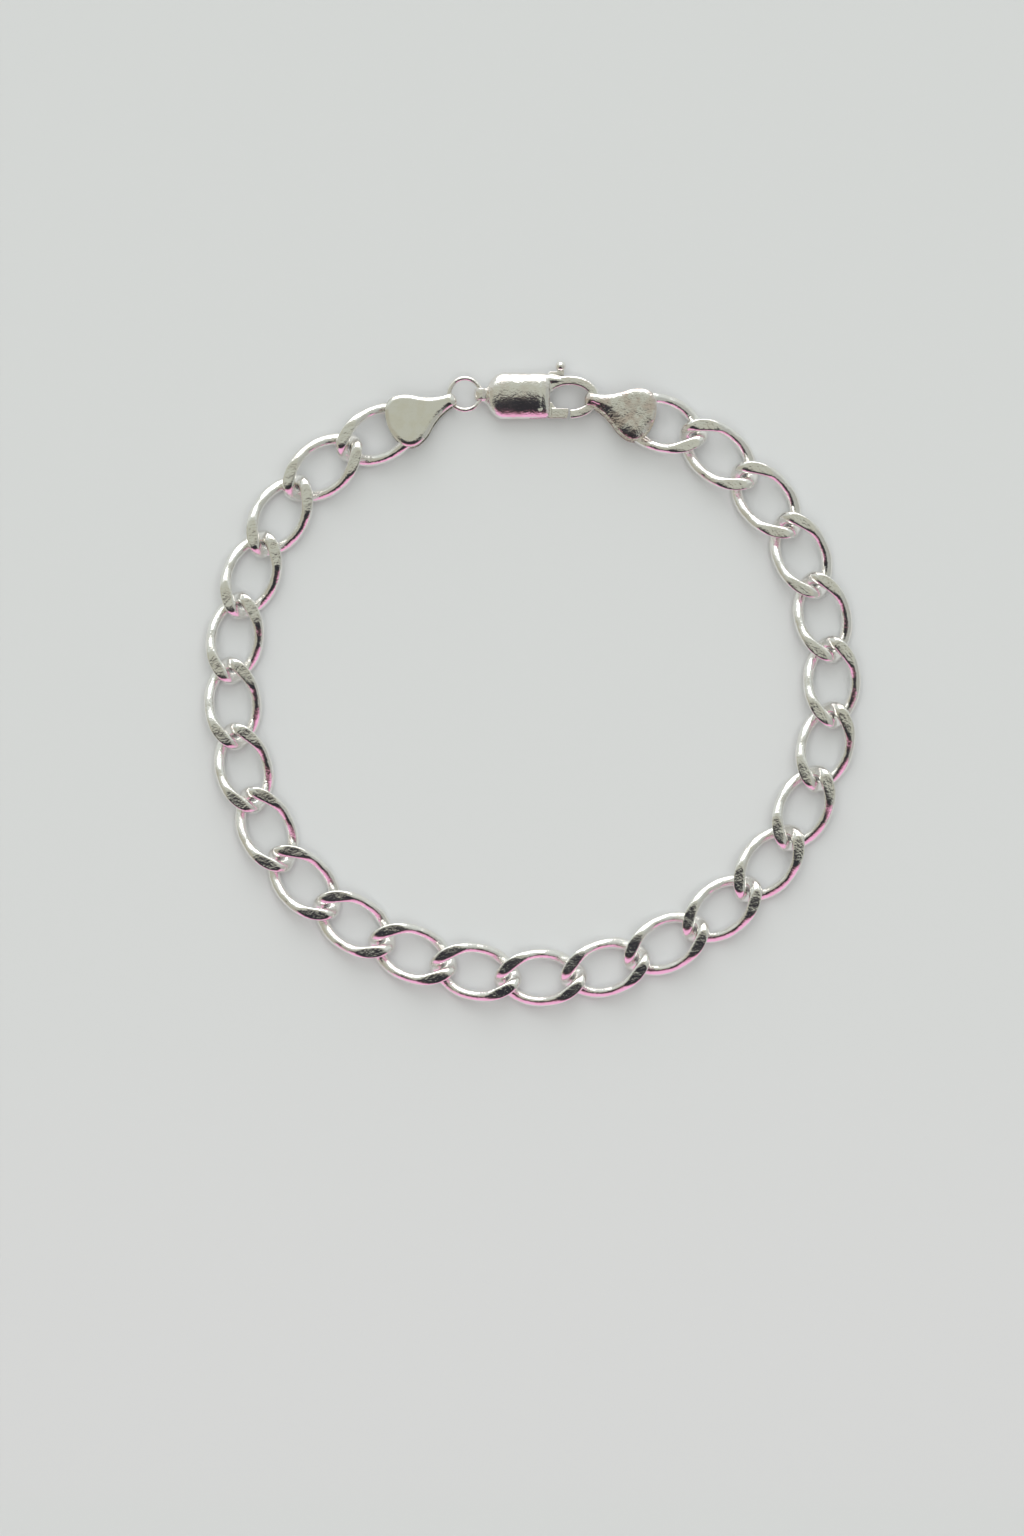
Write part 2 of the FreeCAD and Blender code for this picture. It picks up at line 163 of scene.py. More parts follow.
def skinRows(rows, closedEnds=False):
    # joins closed rows of points into quads; closedEnds joins the last row to the first
    mesh = bmesh.new()
    grid = [[mesh.verts.new(point) for point in row] for row in rows]
    for i in range(len(grid) if closedEnds else len(grid) - 1):
        upper, lower = grid[i], grid[(i + 1) % len(grid)]
        for j in range(len(upper)):
            following = (j + 1) % len(upper)
            mesh.faces.new((upper[j], upper[following], lower[following], lower[j]))
    return mesh, grid


def finishMesh(mesh, name, merge=weld):
    bmesh.ops.remove_doubles(mesh, verts=mesh.verts, dist=merge)
    bmesh.ops.dissolve_degenerate(mesh, edges=mesh.edges, dist=merge / 2)
    bmesh.ops.recalc_face_normals(mesh, faces=mesh.faces)
    data = bpy.data.meshes.new(name)
    mesh.to_mesh(data)
    mesh.free()
    return data


def rounded(angle, half, high, power):
    # a point of an oval loop of those half sizes, squarer for a higher power
    cosine, sine = math.cos(angle), math.sin(angle)
    return (math.copysign(abs(cosine) ** (2 / power), cosine) * half,
            math.copysign(abs(sine) ** (2 / power), sine) * high)


def tube(path, sides, halfWidth, halfHeight, closed=False, power=2.0):
    # an oval bar along a flat path; the width lies in plan and the height along Z
    rows = []
    for i, point in enumerate(path):
        before = path[i - 1] if closed or i else point
        after = path[(i + 1) % len(path)] if closed or i < len(path) - 1 else point
        travel = (after - before).normalized()
        across = Vector((travel.y, -travel.x, 0))
        row = []
        for k in range(sides):
            wide, high = rounded(math.tau * k / sides, halfWidth, halfHeight, power)
            row.append(point + across * wide + Vector((0, 0, high)))
        rows.append(row)
    return rows


def eased(value, low, high):
    share = max(0.0, min(1.0, (value - low) / (high - low)))
    return share * share * (3 - 2 * share)


# The curb chain. The half length and half width are those of the wire's centreline, and the headings are the links'
# turns in plan in degrees, from the left cap round to the right one.
chain = {
    "halfLength": 4.09 * mm, "halfWidth": 2.40 * mm, "twist": math.radians(47), "twistPower": 1.4,
    "wireWidth": 1.07 * mm, "bowWidth": 1.36 * mm, "wireHeight": 1.04 * mm, "thickness": 2.05 * mm,
    "edgeSoftness": 0.24 * mm, "stepsAlong": 96, "stepsAround": 28,
    "nudge": 0.001,             # step of angle that gives the wire's direction
    "seam": 0.0005 * mm,        # gap that closes where the grid's edges meet
    "pitch": 6.67 * mm, "slopedRise": 0.1 * mm,
    "headings": [205, 217, 239, 249, 262, 274, 285, 296, 314, 327, 339, 349, 361,
                 376, 387, 397, 411, 425, 436, 452, 464, 474, 491, 501, 522],
}


class Tree:
    def __init__(self, name, inputs, outputs):
        self.group = bpy.data.node_groups.new(name, "GeometryNodeTree")
        self.sockets = {}
        for label, kind in inputs:
            made = self.group.interface.new_socket(label, in_out="INPUT", socket_type=kind)
            self.sockets[label] = made.identifier
        for label, kind in outputs:
            self.group.interface.new_socket(label, in_out="OUTPUT", socket_type=kind)
        self.start = self.group.nodes.new("NodeGroupInput")
        self.end = self.group.nodes.new("NodeGroupOutput")

    def fill(self, socket, value):
        if isinstance(value, bpy.types.NodeSocket):
            self.group.links.new(value, socket)
        else:
            socket.default_value = value

    def node(self, kind, values=None, **settings):
        made = self.group.nodes.new(kind)
        for key, value in settings.items():
            setattr(made, key, value)
        for key, value in (values or {}).items():
            self.fill(made.inputs[key], value)
        return made

    def given(self, label):
        return self.start.outputs[label]

    def math(self, operation, *values):
        return self.node("ShaderNodeMath", dict(enumerate(values)), operation=operation).outputs[0]

    def vector(self, operation, first, second=None):
        made = self.node("ShaderNodeVectorMath", {0: first}, operation=operation)
        if second is not None:
            self.fill(made.inputs["Scale" if operation == "SCALE" else 1], second)
        return made.outputs["Vector"]

    def point(self, x, y, z):
        return self.node("ShaderNodeCombineXYZ", {"X": x, "Y": y, "Z": z}).outputs["Vector"]

    def give(self, label, value):
        self.group.links.new(value, self.end.inputs[label])


floatKind, intKind, vectorKind, meshKind, materialKind = (
    "NodeSocketFloat", "NodeSocketInt", "NodeSocketVector", "NodeSocketGeometry", "NodeSocketMaterial")

ovalInputs = [("Half length", floatKind, chain["halfLength"]), ("Half width", floatKind, chain["halfWidth"]),
              ("Twist", floatKind, chain["twist"]), ("Twist power", floatKind, chain["twistPower"])]
chainInputs = ovalInputs + [
    ("Wire width", floatKind, chain["wireWidth"]), ("Bow width", floatKind, chain["bowWidth"]),
    ("Wire height", floatKind, chain["wireHeight"]), ("Thickness", floatKind, chain["thickness"]),
    ("Edge softness", floatKind, chain["edgeSoftness"]), ("Steps along", intKind, chain["stepsAlong"]),
    ("Steps around", intKind, chain["stepsAround"]), ("Silver", materialKind, linkSilver)]


def centrelineTree():
    # a point on the wire's centreline: an oval whose plane turns about the long axis from one bow to the other
    tree = Tree("twistedOval", [("Angle", floatKind)] + [(label, kind) for label, kind, _ in ovalInputs],
                [("Point", vectorKind), ("Turn", floatKind)])
    angle = tree.given("Angle")
    along = tree.math("COSINE", angle)
    size = tree.math("POWER", tree.math("ABSOLUTE", along), tree.given("Twist power"))
    turn = tree.math("MULTIPLY", tree.math("MULTIPLY", tree.math("SIGN", along), size),
                     tree.math("MULTIPLY", tree.given("Twist"), -1.0))
    across = tree.math("MULTIPLY", tree.math("SINE", angle), tree.given("Half width"))
    tree.give("Point", tree.point(tree.math("MULTIPLY", along, tree.given("Half length")),
                                  tree.math("MULTIPLY", across, tree.math("COSINE", turn)),
                                  tree.math("MULTIPLY", across, tree.math("SINE", turn))))
    tree.give("Turn", turn)
    return tree.group


def chainTree():
    tree = Tree("curbChain", [("Link places", meshKind)] + [(label, kind) for label, kind, _ in chainInputs],
                [("Chain", meshKind)])
    oval = centrelineTree()

    def onOval(angle):
        made = tree.node("GeometryNodeGroup", node_tree=oval)
        for label, _, _ in ovalInputs:
            tree.fill(made.inputs[label], tree.given(label))
        tree.fill(made.inputs["Angle"], angle)
        return made.outputs["Point"], made.outputs["Turn"]

    def halved(direction, size, share):
        return tree.vector("SCALE", direction, tree.math("MULTIPLY", tree.math("MULTIPLY", size, 0.5), share))

    # a flat grid becomes the wire's skin: its X runs along the wire and its Y around it
    grid = tree.node("GeometryNodeMeshGrid", {
        "Size X": 1.0, "Size Y": 1.0,
        "Vertices X": tree.math("ADD", tree.given("Steps along"), 1.0),
        "Vertices Y": tree.math("ADD", tree.given("Steps around"), 1.0)})
    spread = tree.node("ShaderNodeSeparateXYZ", {"Vector": tree.node("GeometryNodeInputPosition").outputs[0]})
    angle = tree.math("MULTIPLY", spread.outputs["X"], math.tau)
    around = tree.math("MULTIPLY", spread.outputs["Y"], math.tau)
    centre, turn = onOval(angle)
    ahead, _ = onOval(tree.math("ADD", angle, chain["nudge"]))
    behind, _ = onOval(tree.math("SUBTRACT", angle, chain["nudge"]))
    travel = tree.vector("NORMALIZE", tree.vector("SUBTRACT", ahead, behind))
    lean = tree.point(0.0, tree.math("MULTIPLY", tree.math("SINE", turn), -1.0), tree.math("COSINE", turn))
    across = tree.vector("NORMALIZE", tree.vector("CROSS_PRODUCT", travel, lean))
    upward = tree.vector("CROSS_PRODUCT", across, travel)
    bow = tree.math("ABSOLUTE", tree.math("COSINE", angle))
    widening = tree.math("SUBTRACT", tree.given("Bow width"), tree.given("Wire width"))
    width = tree.math("MULTIPLY_ADD", widening, bow, tree.given("Wire width"))
    sideways = halved(across, width, tree.math("COSINE", around))
    heightwise = halved(upward, tree.given("Wire height"), tree.math("SINE", around))
    surface = tree.node("ShaderNodeSeparateXYZ", {
        "Vector": tree.vector("ADD", centre, tree.vector("ADD", sideways, heightwise))})

    # the link is hammered flat: nothing rises above or falls below half the thickness
    half = tree.math("MULTIPLY", tree.given("Thickness"), 0.5)
    below = tree.math("SMOOTH_MIN", surface.outputs["Z"], half, tree.given("Edge softness"))
    level = tree.math("SMOOTH_MAX", below, tree.math("MULTIPLY", half, -1.0), tree.given("Edge softness"))
    shaped = tree.node("GeometryNodeSetPosition", {
        "Geometry": grid.outputs["Mesh"],
        "Position": tree.point(surface.outputs["X"], surface.outputs["Y"], level)})
    closed = tree.node("GeometryNodeMergeByDistance", {"Geometry": shaped.outputs[0], "Distance": chain["seam"]})
    facing = tree.node("GeometryNodeFlipFaces", {"Mesh": closed.outputs[0]})
    smooth = tree.node("GeometryNodeSetShadeSmooth", {"Geometry": facing.outputs[0]})

    turned = tree.node("GeometryNodeInputNamedAttribute", {"Name": "turn"}, data_type="FLOAT_VECTOR")
    rotation = tree.node("FunctionNodeEulerToRotation", {"Euler": turned.outputs["Attribute"]})
    placed = tree.node("GeometryNodeInstanceOnPoints", {
        "Points": tree.given("Link places"), "Instance": smooth.outputs[0], "Rotation": rotation.outputs[0]})
    real = tree.node("GeometryNodeRealizeInstances", {"Geometry": placed.outputs[0]})
    painted = tree.node("GeometryNodeSetMaterial", {"Geometry": real.outputs[0], "Material": tree.given("Silver")})
    tree.give("Chain", painted.outputs[0])
    return tree


def makeChain():
    names = [f"link_{number:02d}" for number in range(1, len(chain["headings"]) + 1)]
    boxes = [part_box(name) for name in names]
    centres = [(low + high) / 2 for low, high in boxes]
    places = bpy.data.meshes.new("linkPlaces")
    places.from_pydata(centres, [], [])
    turn = places.attributes.new("turn", "FLOAT_VECTOR", "POINT")
    for i, heading in enumerate(chain["headings"]):
        # only the second link from each end slopes, and its packed box is taller for it
        low, high = boxes[i]
        slope = 0.0
        if high.z - low.z > chain["thickness"] + chain["slopedRise"]:
            slope = math.asin((centres[i + 1].z - centres[i - 1].z) / chain["pitch"])
        turn.data[i].vector = (0, -slope, math.radians(heading))
    holder = bpy.data.objects.new("linkPlaces", places)
    bpy.context.scene.collection.objects.link(holder)
    tree = chainTree()
    modifier = holder.modifiers.new("curbChain", "NODES")
    modifier.node_group = tree.group
    for label, _, value in chainInputs:
        modifier[tree.sockets[label]] = value
    mesh = bpy.data.meshes.new_from_object(holder.evaluated_get(bpy.context.evaluated_depsgraph_get()))
    holder.modifiers.clear()
    bpy.data.objects.remove(holder)
    mesh.name = "curbLinks"
    pieceFrom("curbLinks", mesh, linkSilver, "bracelet", "link_silver", *names)


makeChain()
print("chain made")


# The end caps, each a strip folded in two leaves; the neck is the plain band next to the fold.
cap = {
    "length": 7.50 * mm, "bend": 0.80 * mm, "sheet": 0.26 * mm, "half": 1.325 * mm, "neck": 1.2 * mm,
    # x, half width, and radius of the arc to the next corner, positive where it bulges outwards
    "outline": [(0.0, 0.58, 0), (1.00, 0.68, -6.0), (3.80, 1.95, 3.66), (5.50, 2.70, 1.47), (7.05, 1.90, 4.0),
                (7.50, 0.0, 0)],
    "rimWidth": 0.62 * mm, "rimDrop": 0.24 * mm, "rollPower": 1.5, "rollSpread": 0.35,
    "leafSteps": 64, "foldSteps": 10, "arcSteps": 24, "across": 33,
    # each cap's heading, the side turned to the front, how far its top leaf leans away from that side, and how far
    # and how wide that side's edge is rolled down
    "left": {"heading": 205, "lowSide": 1, "lean": 0.07 * mm, "roll": 0.12 * mm, "rollWidth": 0.50 * mm},
    "right": {"heading": 342, "lowSide": -1, "lean": 0.0, "roll": 0.28 * mm, "rollWidth": 1.25 * mm},
}


def arcPoints(start, end, radius, count):
    # points from start towards end along an arc, bulging to the left of the way for a positive radius
    if not radius:
        return [start.lerp(end, k / count) for k in range(count)]
    chord = end - start
    normal = Vector((-chord.y, chord.x)).normalized() * (1 if radius > 0 else -1)
    reach = abs(radius)
    centre = (start + end) / 2 - normal * math.sqrt(max(reach ** 2 - (chord.length / 2) ** 2, 0))
    first = math.atan2(start.y - centre.y, start.x - centre.x)
    last = math.atan2(end.y - centre.y, end.x - centre.x)
    sweep = (last - first + math.pi) % math.tau - math.pi
    return [centre + Vector((math.cos(first + sweep * k / count), math.sin(first + sweep * k / count))) * reach
            for k in range(count)]


def capOutline():
    corners = [Vector((x, y)) * mm for x, y, _ in cap["outline"]]
    points = []
    for start, end, (_, _, radius) in zip(corners, corners[1:], cap["outline"]):
        points += arcPoints(start, end, radius * mm, cap["arcSteps"])
    return points + [corners[-1]]


def capNose(node, heading):
    # the cap lies evenly about its own axis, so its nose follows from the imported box
    low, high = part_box(node)
    turn = math.radians(heading)
    spots = [Vector((p.x * math.cos(turn) - side * p.y * math.sin(turn),
                     p.x * math.sin(turn) + side * p.y * math.cos(turn))) for p in capOutline() for side in (1, -1)]
    return ((low.x + high.x) / 2 - (min(p.x for p in spots) + max(p.x for p in spots)) / 2,
            (low.y + high.y) / 2 - (min(p.y for p in spots) + max(p.y for p in spots)) / 2)


def makeCap(name, node, silver, look):
    edge = capOutline()

    def halfWidth(x):
        for a, b in zip(edge, edge[1:]):
            if a.x <= x <= b.x and b.x > a.x:
                return a.y + (b.y - a.y) * (x - a.x) / (b.x - a.x)
        return edge[-1].y if x >= edge[-1].x else edge[0].y

    def toEdge(x, y):
        spot = Vector((x, abs(y)))
        nearest = math.inf
        for a, b in zip(edge, edge[1:]):
            run = b - a
            share = max(0.0, min(1.0, (spot - a).dot(run) / run.length_squared))
            nearest = min(nearest, (spot - a - run * share).length)
        return nearest

    def rim(distance):
        share = min(distance / cap["rimWidth"], 1.0)
        return cap["rimDrop"] * (1 - math.sqrt(max(0.0, 1 - (1 - share) ** 2)))

    def rolled(side, x, distance):
        drop = look["lean"] * (1 - side) * min(x / cap["length"], 1.0)
        edgeDrop = look["roll"] * max(0.0, 1 - distance / look["rollWidth"]) ** cap["rollPower"]
        return drop + edgeDrop * eased(side, 0.0, cap["rollSpread"]) * eased(x, 0, cap["neck"])

    # the strip's outside line, from the end of the top leaf round the fold to the end of the bottom leaf, each point
    # with the angle that it faces
    line = []
    for k in range(cap["leafSteps"]):
        share = k / cap["leafSteps"]
        line.append((cap["bend"] + (cap["length"] - cap["bend"]) * math.cos(share * math.pi / 2), cap["half"], 90))
    for k in range(cap["foldSteps"] + 1):
        angle = 90 - 90 * k / cap["foldSteps"]
        line.append((cap["bend"] - cap["bend"] * math.cos(math.radians(angle)),
                     cap["half"] - cap["bend"] + cap["bend"] * math.sin(math.radians(angle)), angle))
    line += [(x, -z, -angle) for x, z, angle in reversed(line)]

    rows = []
    for x, z, angle in line:
        facing = Vector((-math.cos(math.radians(angle)), 0, math.sin(math.radians(angle))))
        half = halfWidth(x)
        outer, inner = [], []
        for k in range(cap["across"]):
            share = math.sin((k / (cap["across"] - 1) - 0.5) * math.pi)
            y = half * share
            distance = toEdge(x, y) if x > cap["neck"] else half * (1 - abs(share))
            drop = rim(distance)
            if z > 0:
                drop += rolled(share * look["lowSide"], x, distance)
            outer.append(Vector((x, y, z)) - facing * drop)
            inner.append(Vector((x, y, z)) - facing * cap["sheet"])
        rows.append(outer + inner[::-1])
    mesh, _ = skinRows(rows)
    nose = Matrix.Translation((*capNose(node, look["heading"]), cap["half"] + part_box(node)[0].z))
    bmesh.ops.transform(mesh, matrix=nose @ Matrix.Rotation(math.radians(look["heading"]), 4, "Z"), verts=mesh.verts)
    pieceFrom(name, finishMesh(mesh, name, 10 * weld), silver, "bracelet", "cap_silver", node)


makeCap("endCapLeft", "cap_left", capSilver, cap["left"])
# the right cap's darker, pinker film is painted reflection; the left cap's finish has none
makeCap("endCapRight", "cap_right", wornSilverWithPaintedReflection, cap["right"])
print("caps made")


ring = {"radius": 1.60 * mm, "wireRadius": 0.25 * mm, "steps": 96, "sides": 24}


def makeRing():
    low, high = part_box("jump_ring")
    centre = (low + high) / 2
    path = [centre + Vector((math.cos(a), math.sin(a), 0)) * ring["radius"]
            for a in (math.tau * k / ring["steps"] for k in range(ring["steps"]))]
    rows = tube(path, ring["sides"], ring["wireRadius"], ring["wireRadius"], closed=True)
    mesh, _ = skinRows(rows, closedEnds=True)
    pieceFrom("jumpRing", finishMesh(mesh, "jumpRing"), claspSilver, "bracelet", "clasp_silver", "jump_ring")


makeRing()
print("jump ring made")


# The clasp. Numbers without a unit are millimetres from its centre.
clasp = {
    "centre": Vector((-1.18374, 29.17389, 1.2)) * mm,
    # x, y, half width and half height of the body's stations, from the neck to the mouth
    "stations": [(-4.00, 0, 0.60, 0.50), (-3.68, 0, 0.70, 0.54), (-3.38, 0, 0.98, 0.68), (-3.20, 0, 1.28, 0.90),
                 (-2.96, 0, 1.62, 1.06), (-2.60, 0, 2.02, 1.15), (-2.20, 0, 2.26, 1.19), (-1.75, 0, 2.36, 1.20),
                 (0.00, 0, 2.36, 1.20), (1.50, 0, 2.36, 1.20), (1.95, 0, 2.35, 1.19), (2.12, 0, 2.34, 1.155),
                 (2.30, 0, 2.34, 1.15), (2.60, 0, 2.30, 1.10), (2.85, 0, 2.18, 0.96), (2.97, 0, 1.90, 0.78)],
    "stationSteps": 8, "sides": 64, "roundness": 2.15,
    # the highest line lies this far towards the knob's side where the body has its full width
    "crest": 0.50 * mm, "fullHalf": 2.36,
    "hookCentre": Vector((4.93, -0.17, 0)) * mm, "hookLength": 2.55 * mm, "hookWidth": 1.70 * mm,
    "hookWire": 0.49 * mm, "hookHeight": 0.70 * mm, "hookRoundness": 6.0,
    "hookTip": -88.0, "hookRoot": 168.0, "hookSteps": 72, "hookSides": 40,
    # x, y, half width and half height of the hook's thick root along the body's upper corner
    "shoulder": [(1.90, 1.60, 0.62, 0.92), (2.60, 1.62, 0.66, 0.88), (3.40, 1.60, 0.60, 0.80),
                 (4.10, 1.54, 0.50, 0.72), (4.80, 1.52, 0.42, 0.66)],
    "shoulderSteps": 6, "shoulderSides": 32,
    "eye": Vector((-4.0, 0.17, 0)) * mm, "eyeOuter": 0.75 * mm, "eyeHole": 0.50 * mm, "eyeHalf": 0.60 * mm,
    "eyeRoundness": 3.0, "eyeSteps": 48, "eyeSides": 24,
    "slot": [(0.90, -4), (3.30, -4), (3.30, 1.90), (4.50, 1.90), (4.50, 4), (0.90, 4)], "slotHalf": 0.35 * mm,
    "grain": 0.05 * mm, "smoothing": 6,
}
lever = {"grain": 0.035 * mm, "smoothing": 9}
polishing = 0.5      # strength of each smoothing pass of a casting


def smoothed(stations, steps):
    # fills in between the stations along an even curve
    found = []
    for i in range(len(stations) - 1):
        before, start = stations[max(i - 1, 0)], stations[i]
        end, after = stations[i + 1], stations[min(i + 2, len(stations) - 1)]
        for k in range(steps):
            t = k / steps
            found.append(tuple(0.5 * (2 * b + (c - a) * t + (2 * a - 5 * b + 4 * c - d) * t * t
                                      + (3 * b - a - 3 * c + d) * t ** 3)
                               for a, b, c, d in zip(before, start, end, after)))
    return found + [stations[-1]]


def barRows(stations, steps, sides, crest=0.0):
    # rows of an oval bar along X, whose highest line may lie off its middle
    rows = []
    for x, y, half, high in smoothed(stations, steps):
        row = []
        for k in range(sides):
            across, up = rounded(math.tau * k / sides, half * mm, high * mm, clasp["roundness"])
            shift = crest * (max(up, 0) / (high * mm)) ** 2 * half / clasp["fullHalf"]
            row.append(clasp["centre"] + Vector((x * mm, y * mm + across + shift, up)))
        rows.append(row)
    return rows


def hookRows():
    path = []
    for k in range(clasp["hookSteps"] + 1):
        angle = math.radians(clasp["hookTip"] + (clasp["hookRoot"] - clasp["hookTip"]) * k / clasp["hookSteps"])
        path.append(clasp["centre"] + clasp["hookCentre"]
                    + Vector((math.cos(angle) * clasp["hookLength"], math.sin(angle) * clasp["hookWidth"], 0)))
    return tube(path, clasp["hookSides"], clasp["hookWire"], clasp["hookHeight"], power=clasp["hookRoundness"])


def eyeRows():
    middle = (clasp["eyeOuter"] + clasp["eyeHole"]) / 2
    thick = (clasp["eyeOuter"] - clasp["eyeHole"]) / 2
    rows = []
    for k in range(clasp["eyeSteps"]):
        angle = math.tau * k / clasp["eyeSteps"]
        out = Vector((math.cos(angle), 0, math.sin(angle)))
        row = []
        for j in range(clasp["eyeSides"]):
            y, r = rounded(math.tau * j / clasp["eyeSides"], clasp["eyeHalf"], thick, clasp["eyeRoundness"])
            row.append(clasp["centre"] + clasp["eye"] + out * (middle + r) + Vector((0, y, 0)))
        rows.append(row)
    return rows


def endCapped(rows):
    # a tube closed with one face at each end
    mesh, grid = skinRows(rows)
    for row in (grid[0], grid[-1]):
        mesh.faces.new(row)
    return mesh


def joinedMesh(name, parts):
    whole = bmesh.new()
    for part in parts:
        bmesh.ops.remove_doubles(part, verts=part.verts, dist=weld / 10)
        bmesh.ops.recalc_face_normals(part, faces=part.faces)
        data = bpy.data.meshes.new("part")
        part.to_mesh(data)
        part.free()
        whole.from_mesh(data)
        bpy.data.meshes.remove(data)
    data = bpy.data.meshes.new(name)
    whole.to_mesh(data)
    whole.free()
    return data


def cast(name, mesh, grain, smoothing, cutter=None):
    # melts overlapping forms into one casting with soft fillets, then cuts the slot
    holder = bpy.data.objects.new(name + "Rough", mesh)
    bpy.context.scene.collection.objects.link(holder)
    melt = holder.modifiers.new("melt", "REMESH")
    melt.mode = "VOXEL"
    melt.voxel_size = grain
    melt.use_smooth_shade = True
    polish = holder.modifiers.new("polish", "SMOOTH")
    polish.factor = polishing
    polish.iterations = smoothing
    if cutter:
        slot = holder.modifiers.new("slot", "BOOLEAN")
        slot.operation = "DIFFERENCE"
        slot.solver = "EXACT"
        slot.object = cutter
    done = bpy.data.meshes.new_from_object(holder.evaluated_get(bpy.context.evaluated_depsgraph_get()))
    bpy.data.objects.remove(holder)
    done.name = name
    return done


def slotCutter(name, corners, half):
    work = bmesh.new()
    low = [work.verts.new(corner - Vector((0, 0, half))) for corner in corners]
    high = [work.verts.new(corner + Vector((0, 0, half))) for corner in corners]
    work.faces.new(low)
    work.faces.new(high)
    for k in range(len(corners)):
        after = (k + 1) % len(corners)
        work.faces.new((low[k], low[after], high[after], high[k]))
    bmesh.ops.recalc_face_normals(work, faces=work.faces)
    mesh = bpy.data.meshes.new(name)
    work.to_mesh(mesh)
    work.free()
    made = bpy.data.objects.new(name, mesh)
    bpy.context.scene.collection.objects.link(made)
    return made


def makeClaspBody():
    body = barRows(clasp["stations"], clasp["stationSteps"], clasp["sides"], clasp["crest"])
    shoulder = barRows(clasp["shoulder"], clasp["shoulderSteps"], clasp["shoulderSides"])
    eye, _ = skinRows(eyeRows(), closedEnds=True)
    mesh = joinedMesh("claspBody", [endCapped(body), endCapped(hookRows()), endCapped(shoulder), eye])
    corners = [clasp["centre"] + Vector((x, y, 0)) * mm for x, y in clasp["slot"]]
    cutter = slotCutter("slotCutter", corners, clasp["slotHalf"])
    done = cast("claspBody", mesh, clasp["grain"], clasp["smoothing"], cutter)
    bpy.data.objects.remove(cutter)
    pieceFrom("claspBody", done, claspSilver, "bracelet", "clasp_silver", "clasp_body")


def makeLever():
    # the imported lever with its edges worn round
    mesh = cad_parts["clasp_lever"].data.copy()
    work = bmesh.new()
    work.from_mesh(mesh)
    bmesh.ops.remove_doubles(work, verts=work.verts, dist=weld)
    bmesh.ops.recalc_face_normals(work, faces=work.faces)
    work.to_mesh(mesh)
    work.free()
    done = cast("triggerLever", mesh, lever["grain"], lever["smoothing"])
    pieceFrom("triggerLever", done, claspSilver, "lever", "clasp_silver", "clasp_lever")


makeClaspBody()
makeLever()
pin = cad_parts["lever_pin"].data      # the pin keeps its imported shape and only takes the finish
pin.materials.clear()
pin.materials.append(claspSilver)
print("clasp made")


studio = {
    "floorTone": (0.665, 0.675, 0.685, 1), "floorRough": 0.7, "floorHalf": 3.0, "floorHeight": -0.01 * mm,
    "cameraHeight": 0.46, "sensor": 36, "lookAt": (-2.06 * mm, -8.54 * mm),
    "pictureHeight": 155.75 * mm, "pictureLevel": 1.0 * mm,      # the picture spans that much at that level
}

# The room that the polished metal mirrors. A tone comes in between the two values of its blend, which are the
# direction's X for the walls, its Y for the back wall and the window, and its Z for the ceiling.
room = {
    "leftWall": (0.44, 0.43, 0.36, 1), "rightWall": (0.43, 0.44, 0.41, 1), "wallBlend": (-0.5, 0.5),
    "backWall": (0.66, 0.69, 0.66, 1), "backBlend": (0.10, 0.45),
    "ceiling": (0.50, 0.51, 0.44, 1), "ceilingBlend": (0.80, 0.97),
    "window": (2.4, 2.4, 2.4, 1), "windowBlend": (0.48, 0.62), "windowSides": (0.52, 0.30), "windowShift": 0.02,
    "seen": (0.74, 0.75, 0.76, 1),      # what the camera sees past the floor
    "fillPower": 2.0, "fillTone": (0.96, 0.98, 1.0), "fillSize": 0.9, "fillHeight": 0.7,
}

# Sheets that only the metal mirrors, each row with its depth, height, half width and sideways shift in mm, its tone
# and how far it shows. The first hangs in front, near black above and pink below; the second lies overhead.
sheets = {
    "cloth": [
        (-2, 300, 60, -16, (0.24, 0.19, 0.17), 0.0), (-8, 250, 74, -16, (0.17, 0.13, 0.12), 0.8),
        (-17, 210, 84, -14, (0.030, 0.030, 0.036), 1.0), (-50, 82, 102, -22, (0.028, 0.028, 0.034), 1.0),
        (-57, 71, 106, -16, (0.10, 0.06, 0.06), 1.0), (-66, 66, 108, -6, (0.42, 0.20, 0.26), 1.0),
        (-75, 59, 110, 0, (0.86, 0.40, 0.62), 1.0), (-82, 40, 120, 0, (0.93, 0.47, 0.73), 1.0),
        (-84, 2, 120, 0, (0.90, 0.48, 0.72), 1.0), (-60, 0.4, 90, 0, (0.88, 0.52, 0.72), 1.0),
        (-38, 0.2, 60, 0, (0.86, 0.60, 0.74), 0.5),
    ],
    "canopy": [
        (16, 480, 50, -2, (0.26, 0.20, 0.18), 0.0), (8, 480, 50, -2, (0.16, 0.12, 0.11), 0.85),
        (-3, 480, 50, -2, (0.035, 0.036, 0.042), 1.0), (-110, 480, 50, -2, (0.030, 0.031, 0.037), 1.0),
        (-130, 480, 50, -2, (0.10, 0.08, 0.07), 0.0),
    ],
}
sheetSteps = 25
sheetEdge = 0.16      # share of the width over which a sheet's side edges fade


def makeFloor():
    half, height = studio["floorHalf"], studio["floorHeight"]
    mesh = bpy.data.meshes.new("floor")
    mesh.from_pydata([(x * half, y * half, height) for x, y in ((-1, -1), (1, -1), (1, 1), (-1, 1))], [],
                     [(0, 1, 2, 3)])
    made, _, skin = newMaterial("paleFloor")
    skin.inputs["Roughness"].default_value = studio["floorRough"]
    skin.inputs["Base Color"].default_value = studio["floorTone"]
    mesh.materials.append(made)
    floor = bpy.data.objects.new("floor", mesh)
    bpy.context.scene.collection.objects.link(floor)


